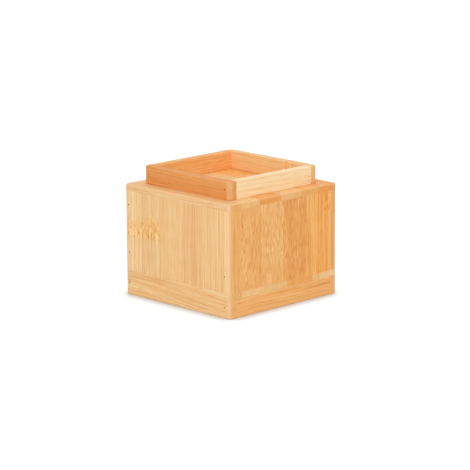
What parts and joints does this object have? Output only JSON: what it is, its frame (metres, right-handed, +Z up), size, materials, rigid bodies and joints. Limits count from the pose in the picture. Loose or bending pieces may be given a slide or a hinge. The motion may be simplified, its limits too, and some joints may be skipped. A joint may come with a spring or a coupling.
{
  "type": "bed riser",
  "caption": "Square bamboo furniture riser: a hollow glued box on a low plinth ring, with a raised collar on top that forms a recess for a bed leg.",
  "frame": {"origin": "centre of the footprint, on the floor", "axes": "+Z up towards the leg recess, -Y the front, +X the right side"},
  "size_m": [0.115, 0.115, 0.101],
  "materials": {
    "bamboo_wall": "planed and sanded bamboo, clear satin lacquer",
    "bamboo_board": "planed and sanded bamboo, clear satin lacquer",
    "bamboo_strip": "planed and sanded bamboo, clear satin lacquer",
    "brad_steel": "dull steel wire, darkened at the head"
  },
  "bodies": {
    "root": {"plinth_front": "bamboo_strip", "plinth_back": "bamboo_strip", "plinth_left": "bamboo_strip", "plinth_right": "bamboo_strip", "bottom_board": "bamboo_board", "wall_front": "bamboo_wall", "wall_back": "bamboo_wall", "wall_left": "bamboo_wall", "wall_right": "bamboo_wall", "top_board": "bamboo_board", "collar_front": "bamboo_strip", "collar_back": "bamboo_strip", "collar_left": "bamboo_strip", "collar_right": "bamboo_strip", "brads": "brad_steel"}
  },
  "joints": []
}
